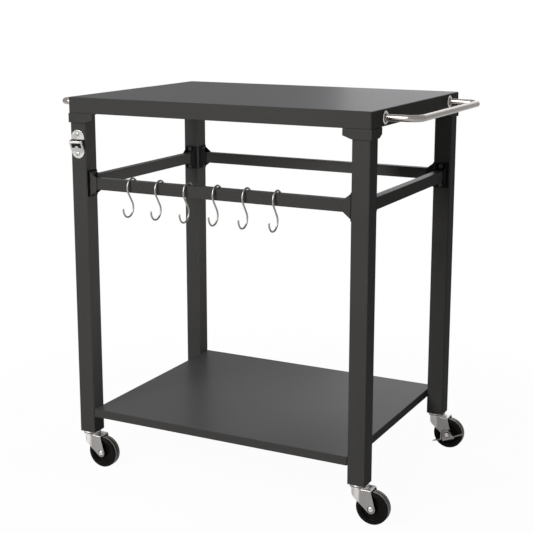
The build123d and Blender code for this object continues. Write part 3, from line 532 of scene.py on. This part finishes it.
class CART_OT_sheets(Operator):
    """Coat the worktop, the lower shelf and their stiffeners"""
    bl_idname = "cart.sheets"
    bl_label = "Coat worktop and shelf"

    def execute(self, context):
        coats = context.scene.cart_coats
        for node in ("table_top", "bottom_shelf"):
            dress(powder_coat(f"{node}_coat", coats.sheet, box(node)[1][2]), node)
        dress(powder_coat("stiffener_coat", coats.frame), "table_top_stiffeners", "bottom_shelf_stiffeners")
        return {"FINISHED"}


class CART_OT_tubes(Operator):
    """Coat the legs, corner brackets, rails and rail brackets, with painted shade on the rail brackets"""
    bl_idname = "cart.tubes"
    bl_label = "Coat frame"

    def execute(self, context):
        coats = context.scene.cart_coats
        dress(powder_coat("frame_coat", coats.frame), *[f"leg_{corner}" for corner in CORNERS],
              *[f"leg_bracket_{corner}" for corner in CORNERS])
        rail_end, _, rail_top = box("front_rail")[1]
        dress(powder_coat("rail_coat", coats.frame, rail_top), *RAILS)
        # The rear, left and right rail brackets wear the near-black bracket coat: painted shade.
        dress(powder_coat("bracket_coat", coats.clip), *[f"{rail}_brackets" for rail in RAILS[1:]])
        # Painted shadow: the front rail brackets wear the frame coat, stained near black beyond the rail's
        # end, by the legs.
        front_clip = powder_coat("front_bracket_coat", coats.frame)
        along = front_clip.away(front_clip.axis(front_clip.place(), "X"), 0.0)
        front_clip.stain(shade(coats.clip, 0.25), front_clip.step(along, rail_end - 0.0002, rail_end))
        dress(front_clip, "front_rail_brackets")
        return {"FINISHED"}


class CART_OT_fasteners(Operator):
    """Finish the bolts, nuts, inserts and bearing balls"""
    bl_idname = "cart.fasteners"
    bl_label = "Finish fasteners"

    def execute(self, context):
        tones, metals = context.scene.cart_coats, context.scene.cart_metals
        dress(black_oxide("black_fastener", tones.fastener), "bracket_bolts", "rail_bolts", "shelf_bolts")
        steel = plated("plain_steel", metals.plain, metals.streak, rough=0.38, across=160.0, along=160.0)
        dress(steel, "weld_nuts", "caster_inserts", "swivel_balls", "handle_screws")
        return {"FINISHED"}


class CART_OT_handles(Operator):
    """Bend both handles from round tube and set them in dished cups"""
    bl_idname = "cart.handles"
    bl_label = "Make handles"

    def execute(self, context):
        fit, metals = context.scene.cart_fittings, context.scene.cart_metals
        steel = brushed_bar("handle_stainless", metals.stainless, metals.streak * 0.5, rough=0.24)
        profile = self.cup_profile(fit)
        cups = []
        for side, sign in (("left", -1.0), ("right", 1.0)):
            low, high = box(f"{side}_handle")
            wall, grip = (low[0], high[0] - fit.tube) if sign > 0.0 else (high[0], low[0] + fit.tube)
            level = (low[2] + high[2]) / 2.0
            posts = low[1] + fit.tube, high[1] - fit.tube
            corners = [(wall, posts[0], level), (grip, posts[0], level),
                       (grip, posts[1], level), (wall, posts[1], level)]
            path = rounded(corners, fit.bend, steps=16)
            rings = bar(path, fit.tube, (0.0, 0.0, 1.0), around=40)
            make(f"{side}_handle_bar", [skin(*rings)], steel, "cart", f"{side}_handle")
            for post in posts:
                rings = turned(*profile.T, (wall, post, level), (sign, 0.0, 0.0), around=72)
                cups.append(skin(*rings, loop=True))
        finish = plated("flange_stainless", shade(metals.bright, 1.35), metals.streak * 0.4,
                        rough=0.24, across=90.0, along=90.0)
        # Painted shade: inside the bead the cup's floor is stained near black, for the shade in the hollow
        # round the tube.
        bead = finish.step(finish.axis(finish.grain(), "Y"), fit.cup_floor + 0.0001, fit.cup_floor + 0.0008)
        finish.stain(shade(metals.stainless, 0.12), 1.0 - bead)
        make("handle_cups", cups, finish, "cart", "handle_flanges")
        return {"FINISHED"}

    @staticmethod
    def cup_profile(fit):
        """Radius and height round a cup's section: a thin floor round the tube, and a bead at its edge."""
        overlap, soft = 0.0002, 0.0014
        hole, inside = fit.tube - overlap, fit.cup - fit.cup_bead
        corners = [(hole, 0.0), (fit.cup, 0.0), (fit.cup, fit.cup_tall), (inside, fit.cup_tall),
                   (inside, fit.cup_floor), (hole, fit.cup_floor)]
        return rounded(corners, soft, steps=7, closed=True)


class CART_OT_hooks(Operator):
    """Bend the S-hooks from round wire with domed ends"""
    bl_idname = "cart.hooks"
    bl_label = "Make hooks"

    def execute(self, context):
        fit, metals = context.scene.cart_fittings, context.scene.cart_metals
        finish = brushed_bar("hook_stainless", metals.wire, metals.streak * 0.6, rough=0.46)
        for number in range(1, HOOKS + 1):
            node = f"hook_{number}"
            line = self.bend(fit, *box(node))
            path = np.column_stack([np.full(len(line), middle(node)[0]), line])
            rings = bar(path, fit.wire, (1.0, 0.0, 0.0), around=20, domed=True)
            make(f"{node}_wire", [skin(*rings)], finish, node, node)
        return {"FINISHED"}

    @staticmethod
    def bend(fit, low, high):
        """Points of an S, seen from the side: an arc over the upper centre, the straight line that touches
        both circles on opposite sides, and an arc under the lower centre. The line touches them at the angle
        of the centres' own line less the arc cosine of twice the radius over their distance."""
        out, steps = fit.wire + fit.loop, 44
        upper, lower = high[1:] - out, low[1:] + out
        fall = upper - lower
        swing = math.atan2(fall[1], fall[0]) - math.acos(2.0 * fit.loop / math.hypot(*fall))
        over, under = np.linspace(0.0, math.pi + swing, steps), np.linspace(swing, -math.pi, steps)
        return np.vstack([upper + fit.loop * np.stack([np.cos(over), np.sin(over)], 1),
                          lower + fit.loop * np.stack([np.cos(under), np.sin(under)], 1)])


class CART_OT_opener(Operator):
    """Press the bottle opener from sheet and drive in its two domed screws"""
    bl_idname = "cart.opener"
    bl_label = "Make bottle opener"

    # Heights above the plate's middle: rays' start, mouth, tooth centre, and the folds from the lowest up.
    RAY_START, MOUTH_TOP, MOUTH_LOW, TOOTH_AT = -0.0005, 0.0026, -0.0082, -0.0095
    RAMP_LOW, LEDGE_LOW, LEDGE_BACK, LEDGE_TOP = -0.017, 0.0080, 0.0090, 0.0108
    HEAD_POINTS = 96

    def execute(self, context):
        fit, metals = context.scene.cart_fittings, context.scene.cart_metals
        finish = plated("opener_plate", metals.bright, metals.streak * 0.2,
                        rough=0.42, across=60.0, along=60.0)
        centre, wall = middle("bottle_opener"), box("bottle_opener")[1][1]
        across, up, out = self.pressed(fit, half_size("bottle_opener"))
        rings = np.stack([centre[0] + across, wall - out, centre[2] + up], axis=-1)
        grain = np.stack([across, up, out], axis=-1)
        height = finish.axis(finish.grain(), "Y")
        # Painted shade: the step from the lip back to the plate is stained near black and made rougher, for
        # the shade and dark reflection in it.
        shadow = finish.step(height, self.LEDGE_LOW - 0.0004, self.LEDGE_LOW)
        ledge_shade = shadow * (1.0 - finish.step(height, self.LEDGE_BACK + 0.0004, self.LEDGE_TOP + 0.0022))
        finish.stain(shade(metals.plain, 0.04), ledge_shade)
        finish.paint("Roughness", finish.fed("Roughness") + 0.5 * ledge_shade)
        plate = skin(rings, grain, loop=True)
        make("bottle_opener_plate", [plate], finish, "cart", "bottle_opener")
        low, high = box("opener_screws")
        head, front = half_size("opener_screws")[0], wall - fit.plate
        radius, height = self.domed(head, front - low[1])
        heads = []
        for level in (low[2] + head, high[2] - head):
            spot = centre[0], front, level
            heads.append(skin(*turned(radius, height, spot, (0.0, -1.0, 0.0), self.HEAD_POINTS)))
        screw = plated("opener_screw", shade(metals.bright, 0.80), metals.streak * 0.2,
                       rough=0.46, across=200.0, along=200.0)
        make("opener_screw_heads", heads, screw, "cart", "opener_screws")
        return {"FINISHED"}

    @classmethod
    def pressed(cls, fit, half):
        """Rings of the plate, as distances across and up from its middle and out from the wall. Rays leave a
        point in the mouth. On each ray the plate runs from the mouth's edge to the outline. How far it
        stands out follows the folds by height, and falls in a quarter circle at both edges. The back is one
        sheet thickness behind the front."""
        rays, body_rings, fold_soft = 360, 80, 0.0005
        angle = around_turn(rays)
        ray_x, ray_z = np.cos(angle), np.sin(angle)
        inner, outer = cls.mouth_edge(fit, ray_x, ray_z), cls.outline(half, ray_x, ray_z)
        rim = fit.press * np.array([0.0, 0.08, 0.3, 0.62, 1.0])
        drop = fit.press - np.sqrt(fit.press ** 2 - (fit.press - rim) ** 2)
        share_out = np.linspace(0.0, 1.0, body_rings + 2)[1:-1, None]
        body = inner + fit.press + share_out * (outer - inner - 2.0 * fit.press)
        reach = np.vstack([inner + rim[:, None], body, outer - rim[::-1, None]])
        across, up = reach * ray_x, cls.RAY_START + reach * ray_z
        deep, blur = 2.0 * half[1], np.linspace(-fold_soft, fold_soft, 7)
        fold_up = np.array([cls.RAMP_LOW, cls.MOUTH_TOP, cls.LEDGE_LOW, cls.LEDGE_BACK, cls.LEDGE_TOP])
        fold_out = np.array([fit.plate, deep, deep, 0.85 * fit.plate + 0.15 * deep, fit.plate])
        out = np.interp(up[..., None] + blur, fold_up, fold_out).mean(-1)
        lower = np.concatenate([drop, np.zeros(body_rings), drop[::-1]])[:, None]
        back = np.maximum(out - fit.plate, 0.0)
        both_faces = (across, across), (up, up), (out - lower, back)
        return [np.vstack([front, rear[::-1]]) for front, rear in both_faces]

    @classmethod
    def mouth_edge(cls, fit, ray_x, ray_z):
        """Distance along each ray to the mouth's edge: the nearest of its sides and the tooth's circle."""
        level, upright = np.maximum(np.abs(ray_x), TINY), np.maximum(np.abs(ray_z), TINY)
        tall = np.where(ray_z > 0.0, cls.MOUTH_TOP - cls.RAY_START, cls.RAY_START - cls.MOUTH_LOW)
        straight = np.minimum(fit.mouth / level, tall / upright)
        fall = cls.RAY_START - cls.TOOTH_AT
        near = ray_z * fall
        hit = near ** 2 - fall ** 2 + fit.tooth ** 2
        tooth = np.minimum(straight, -near - np.sqrt(np.maximum(hit, 0.0)))
        return np.where((hit > 0.0) & (ray_z < 0.0), tooth, straight)

    @classmethod
    def outline(cls, half, ray_x, ray_z):
        """Distance along each ray to an outline of two half circles joined by straight sides."""
        level = np.maximum(np.abs(ray_x), TINY)
        lobe = half[2] - half[0]
        offset = cls.RAY_START - np.sign(ray_z) * lobe
        along = ray_z * offset
        round_end = -along + np.sqrt(along ** 2 - offset ** 2 + half[0] ** 2)
        return np.where(np.abs(cls.RAY_START + half[0] / level * ray_z) <= lobe, half[0] / level, round_end)

    @classmethod
    def domed(cls, head, tall):
        """Radius and height of a screw head: a flattened dome, lowered where a point falls in a cross of
        two slots."""
        slot_half, slot_long, slot_deep = 0.0007, 0.0025, 0.0012
        side_slope, end_slope = 0.0003, 0.0004
        radius, angle = np.linspace(0.02, 1.0, 28) * head, around_turn(cls.HEAD_POINTS)
        narrow = radius[:, None] * np.minimum(np.abs(np.cos(angle)), np.abs(np.sin(angle)))
        ends = np.clip((slot_long - radius) / end_slope, 0.0, 1.0)[:, None]
        slot = np.clip((slot_half - narrow) / side_slope, 0.0, 1.0) * ends
        dome = tall * np.sqrt(1.0 - (radius / head) ** 2)
        return radius, dome[:, None] - slot_deep * slot


class CART_OT_casters(Operator):
    """Finish the caster forks, stems and brake rockers, and head the axles over rings of painted shade"""
    bl_idname = "cart.casters"
    bl_label = "Make caster metalwork"

    def execute(self, context):
        fit, metals = context.scene.cart_fittings, context.scene.cart_metals
        _, axle_half, head = half_size("caster_axle_front_left")
        for corner in CORNERS:
            finish = self.fork_zinc(metals, corner, axle_half - fit.rivet)
            dress(finish, f"caster_stem_{corner}", f"caster_fork_{corner}")
            if corner in BRAKED:
                dress(finish, f"brake_lever_{corner}")
        rivet = plated("rivet_zinc", metals.zinc, metals.streak * 0.3,
                       rough=0.30, across=200.0, along=200.0)
        # Painted shade: a near-black ring round each axle head, for the shade at the head's foot.
        shade_ring = rivet.step(rivet.axis(rivet.grain(), "X"), head + 0.0001, head + 0.0003)
        rivet.stain(shade(metals.plain, 0.10), shade_ring)
        for corner in CORNERS:
            node = f"caster_axle_{corner}"
            half = half_size(node)
            profile = self.axle_profile(fit, half[2], 2.0 * half[1])
            start = middle(node) - (0.0, half[1], 0.0)
            rings = turned(*profile.T, start, (0.0, 1.0, 0.0), around=48)
            make(f"{node}_rivet", [skin(*rings)], rivet, f"fork_{corner}", node)
        return {"FINISHED"}

    @staticmethod
    def axle_profile(fit, head, span):
        """Radius and height along an axle: an elliptic dome, a thin ring under it, the shank, and the same
        again at the other end."""
        shank, thin, crown = 0.004, 0.0003, 0.75 * fit.rivet
        ring = head + fit.shade_ring
        rise = np.linspace(0.06, 1.0, 10) * math.pi / 2.0
        dome = np.stack([head * np.sin(rise), crown - crown * np.cos(rise)], 1)
        near = np.vstack([dome, [(head, fit.rivet - thin), (ring, fit.rivet - thin), (ring, fit.rivet),
                                 (shank, fit.rivet)]])
        far = near[::-1] * (1.0, -1.0) + (0.0, span)
        return np.vstack([near, far])

    @staticmethod
    def fork_zinc(metals, corner, cheek):
        """Zinc plate of one caster, with painted shade: darker on the flat cheeks behind the stem, and dark
        in the gap of the ball race."""
        finish = plated(f"zinc_{corner}", metals.zinc, metals.streak * 0.9,
                        rough=0.34, across=85.0, along=9.0)
        stem, race = middle(f"caster_stem_{corner}"), middle("swivel_balls")
        along, aside, up = [finish.axis(finish.place(), letter) for letter in "XYZ"]
        # Painted shade: the flat cheeks behind the stem are stained darker, for the darker surroundings that
        # they reflect.
        flat = finish.step(finish.away(aside, stem[1]), cheek - 0.0007, cheek - 0.0002)
        behind = finish.step(along, stem[0] + 0.002, stem[0] + 0.009)
        finish.stain(shade(metals.zinc, 0.50), flat * behind)
        # Painted shade: a dark line in the gap of the ball race.
        gap = 1.0 - finish.step(finish.away(up, race[2]), 0.0005, 0.0010)
        finish.stain(shade(metals.plain, 0.08), gap)
        return finish


class CART_OT_wheels(Operator):
    """Mould the tyres and the dished wheel cores"""
    bl_idname = "cart.wheels"
    bl_label = "Make wheels"

    def execute(self, context):
        wheels = context.scene.cart_wheels
        plastic = moulded("wheel_plastic", wheels.core, rough=0.34, specular=0.08, pitch=0.0009)
        rubber = self.tyre_rubber(wheels, half_size("tyre_front_left"))
        for corner in CORNERS:
            tyre, core, body = f"tyre_{corner}", f"wheel_core_{corner}", f"wheel_{corner}"
            profile = self.tyre_profile(wheels, half_size(tyre), half_size(core)[2])
            rings = turned(*profile.T, middle(tyre), (0.0, 1.0, 0.0), around=128)
            make(f"{tyre}_rubber", [skin(*rings, loop=True)], rubber, body, tyre)
            profile = self.core_profile(wheels, half_size(core))
            rings = turned(*profile.T, middle(tyre), (0.0, 1.0, 0.0), around=128)
            make(f"{core}_moulding", [skin(*rings, loop=True)], plastic, body, core)
        return {"FINISHED"}

    @staticmethod
    def tyre_rubber(wheels, half):
        """Black rubber with a worn, shinier running face, and a pale highlight painted along its edges."""
        finish = moulded("tyre_rubber", wheels.rubber, rough=0.46, specular=0.08, pitch=0.0011)
        tread_half = half[1] - wheels.bead - wheels.shoulder
        radius, aside = [finish.axis(finish.grain(), letter) for letter in "XY"]
        running = finish.step(radius, half[2] - 0.0003, half[2] - 0.0001)
        # Painted highlight: a pale band along each edge of the running face.
        edge = finish.step(finish.away(aside, 0.0), tread_half - 0.0034, tread_half - 0.0026)
        finish.stain(shade(wheels.tread), running)
        finish.stain(shade(wheels.edge_highlight), running * edge)
        finish.paint("Coat Roughness", 0.25)
        finish.paint("Coat Weight", 0.5 * running)
        return finish

    @staticmethod
    def tyre_profile(wheels, half, rim):
        """Radius and width round a tyre's section: bead, side, rounded shoulder, and a low step up to the
        tread."""
        side, worn = half[1] - wheels.bead, half[2] - wheels.step
        bead_edge, bead_slope = rim + wheels.bead_wide, 0.0007
        foot = side - wheels.shoulder - wheels.step_run
        edge = np.array([(rim, half[1]), (bead_edge, half[1]), (bead_edge + bead_slope, side), (worn, side),
                         (worn, foot), (half[2], foot - wheels.step_run)])
        soft = np.array([0.0003, 0.0005, 0.0005, wheels.shoulder, 0.0002, 0.0004])
        corners = np.vstack([edge * (1.0, -1.0), edge[::-1]])
        return rounded(corners, np.concatenate([soft, soft[::-1]]), steps=9, closed=True)

    @staticmethod
    def core_profile(wheels, half):
        """Radius and width round a wheel core's section: bored hub, thin disc, and a lip that carries the
        tyre."""
        bore, hub_slope, soft, rim = 0.0042, 0.0012, 0.0012, half[2]
        disc_edge, lip_edge = rim - 0.0055, rim - 0.0036
        face = np.array([(bore, half[1]), (wheels.hub, half[1]), (wheels.hub + hub_slope, wheels.web),
                         (disc_edge, wheels.web), (lip_edge, wheels.lip), (rim, wheels.lip)])
        corners = np.vstack([face * (1.0, -1.0), face[::-1]])
        return rounded(corners, soft, steps=6, closed=True)


class CART_OT_stage(Operator):
    """Lay the floor, set the lamps and the room light, and place the camera"""
    bl_idname = "cart.stage"
    bl_label = "Set stage"

    def execute(self, context):
        scene, stage = context.scene, context.scene.cart_stage
        scene.view_settings.view_transform = "Standard"
        self.lay_floor(scene, stage)
        self.light_room(scene, stage)
        for name in LAMPS:
            self.hang_lamp(scene, name, getattr(stage, name))
        camera = bpy.data.objects.new("camera", bpy.data.cameras.new("camera"))
        camera.data.lens = stage.lens
        camera.data.shift_y = stage.shift
        camera.data.clip_end = 100.0
        camera.location = stage.eye
        camera.rotation_euler = (math.pi / 2.0 - stage.pitch, 0.0, stage.yaw)
        scene.collection.objects.link(camera)
        scene.camera = camera
        return {"FINISHED"}

    @staticmethod
    def seen(nodes):
        """1 for rays that show a surface as it is: from the camera or through glass."""
        rays = {0: nodes.ray("Camera"), 1: nodes.ray("Transmission")}
        return nodes.node("Math", {"operation": "ADD", "use_clamp": True}, rays)

    def lay_floor(self, scene, stage):
        """A round floor just under the wheels: rings of points whose radius grows with the square of their
        number."""
        reach, rings, around, drop = 14.0, 23, 64, 0.0002
        radius = np.linspace(0.0, 1.0, rings + 1)[1:, None] ** 2 * reach
        angle = around_turn(around)
        level = np.full((rings, around), -drop)
        flat = np.stack([radius * np.cos(angle), radius * np.sin(angle), level], axis=-1)
        points, _, quads, fans = skin(flat)
        mesh = bpy.data.meshes.new("floor")
        mesh.from_pydata(points.tolist(), [], quads.tolist() + fans[:around].tolist())
        floor = bpy.data.objects.new("floor", mesh)
        scene.collection.objects.link(floor)
        mesh.materials.append(self.floor_finish(stage).material)

    def floor_finish(self, stage):
        """Matt floor under a white that the eye sees in full far out, and a little less near the cart, where
        its shadow shows."""
        near, far, near_white, mirrored_white = 0.6, 1.3, 0.965, 0.35
        finish = Finish("stage_floor", Roughness=0.9, Specular_IOR_Level=0.0)
        finish.paint("Base Color", shade(stage.floor))
        distance = finish.node("VectorMath", {"operation": "LENGTH"}, {0: finish.place()}, "Value")
        white = finish.node("Emission", {}, {"Color": WHITE, "Strength": 1.0})
        cover = near_white + (1.0 - near_white) * finish.step(distance, near, far)
        amount = self.seen(finish) * cover + mirrored_white * finish.ray("Glossy")
        matt = Wire(finish, finish.shader.outputs[0])
        mixed = finish.node("MixShader", {}, {0: amount, 1: matt, 2: white})
        finish.feed(finish.tree.nodes["Material Output"].inputs["Surface"], mixed)
        return finish

    def light_room(self, scene, stage):
        """Even light from all round, white to the eye and grey in reflections."""
        scene.world = bpy.data.worlds.new("room")
        scene.world.use_nodes = True
        nodes = Nodes(scene.world.node_tree)
        mirrored = (stage.mirror - stage.world) * nodes.ray("Glossy")
        strength = stage.world + (1.0 - stage.world) * self.seen(nodes) + mirrored
        room = nodes.node("Background", {}, {"Color": WHITE, "Strength": strength})
        nodes.feed(nodes.tree.nodes["World Output"].inputs["Surface"], room)

    def hang_lamp(self, scene, name, watts):
        """A square soft lamp turned to its target. The glint lamp only shows in reflections, and is kept off
        the coated sheets and rails, so that no glare of it lies on their smooth upper faces."""
        size, spot, target = LAMPS[name]
        lamp = bpy.data.lights.new(f"{name}_lamp", "AREA")
        lamp.energy = watts
        lamp.size = size
        held = bpy.data.objects.new(lamp.name, lamp)
        held.location = spot
        held.visible_camera = False
        held.visible_glossy = name not in UNMIRRORED
        aim = held.location - type(held.location)(target)
        held.rotation_euler = aim.to_track_quat("Z", "Y").to_euler()
        scene.collection.objects.link(held)
        if name == "glint":
            held.visible_diffuse = False
            self.keep_off(held, "table_top", "bottom_shelf", *RAILS)

    @staticmethod
    def keep_off(lamp, *nodes):
        """Keeps a lamp's light off CAD nodes."""
        kept = bpy.data.collections.new(f"{lamp.name}_kept_off")
        for name in nodes:
            kept.objects.link(frame["nodes"][name])
        for entry in kept.collection_objects:
            entry.light_linking.link_state = "EXCLUDE"
        lamp.light_linking.receiver_collection = kept


class CART_PT_panel(Panel):
    """Grill cart tools and settings"""
    bl_idname = "CART_PT_panel"
    bl_label = "Grill cart"
    bl_space_type = "VIEW_3D"
    bl_region_type = "UI"
    bl_category = "Grill cart"

    def draw(self, context):
        for step in STEPS:
            self.layout.operator(step.bl_idname)
        for key in GROUPS:
            group = getattr(context.scene, key)
            column = self.layout.box().column()
            for name in group.__annotations__:
                column.prop(group, name)


GROUPS = {"cart_coats": CartCoats, "cart_metals": CartMetals, "cart_wheels": CartWheels,
          "cart_fittings": CartFittings, "cart_stage": CartStage}
STEPS = (CART_OT_sheets, CART_OT_tubes, CART_OT_fasteners, CART_OT_handles, CART_OT_hooks, CART_OT_opener,
         CART_OT_casters, CART_OT_wheels, CART_OT_stage)


def register():
    for group in GROUPS.values():
        bpy.utils.register_class(group)
    for key, group in GROUPS.items():
        setattr(bpy.types.Scene, key, PointerProperty(type=group))
    for step in STEPS + (CART_PT_panel,):
        bpy.utils.register_class(step)


def unregister():
    for step in (CART_PT_panel,) + STEPS[::-1]:
        bpy.utils.unregister_class(step)
    for key, group in GROUPS.items():
        delattr(bpy.types.Scene, key)
        bpy.utils.unregister_class(group)


def main():
    register()
    bpy.ops.cart.sheets()
    bpy.ops.cart.tubes()
    bpy.ops.cart.fasteners()
    bpy.ops.cart.handles()
    bpy.ops.cart.hooks()
    bpy.ops.cart.opener()
    bpy.ops.cart.casters()
    bpy.ops.cart.wheels()
    bpy.ops.cart.stage()


if __name__ == "__main__":
    main()
